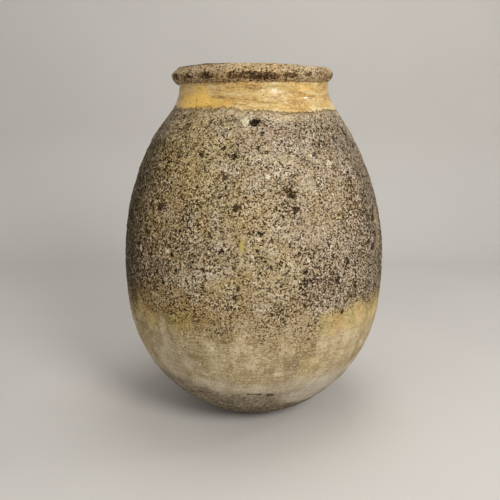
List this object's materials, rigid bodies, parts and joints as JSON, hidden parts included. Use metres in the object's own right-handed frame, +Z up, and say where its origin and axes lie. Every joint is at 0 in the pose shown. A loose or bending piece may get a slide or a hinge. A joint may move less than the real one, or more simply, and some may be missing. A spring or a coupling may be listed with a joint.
{
  "type": "olive jar",
  "caption": "Tall egg-shaped terracotta storage jar on a small flat base, with a hollow neck, a rolled lip and an open mouth, glazed inside and round the neck.",
  "frame": {"origin": "on the jar's axis, at the underside of the base that it stands on", "axes": "+Z up along the axis of the jar, out of its mouth; the body is round about it, so X and Y are free"},
  "size_m": [0.64, 0.64, 0.85],
  "materials": {
    "weathered_clay": "matt, rough and pitted, with dark crust over the upper body and pale bare clay near the foot",
    "lip_clay": "matt, worn pale on the crest, with dark lichen below",
    "clay_slip": "matt",
    "honey_glaze": "worn gloss, ochre yellow with pits and scratches"
  },
  "bodies": {
    "root": {"base_disc": "weathered_clay", "foot_course": "weathered_clay", "bowl_course": "weathered_clay", "belly_course": "weathered_clay", "upper_belly_course": "weathered_clay", "lower_shoulder_course": "weathered_clay", "upper_shoulder_course": "weathered_clay", "neck_collar": "weathered_clay", "rolled_lip": "lip_clay", "luting_slip": "clay_slip", "neck_glaze": "honey_glaze", "inner_glaze": "honey_glaze"}
  },
  "joints": []
}
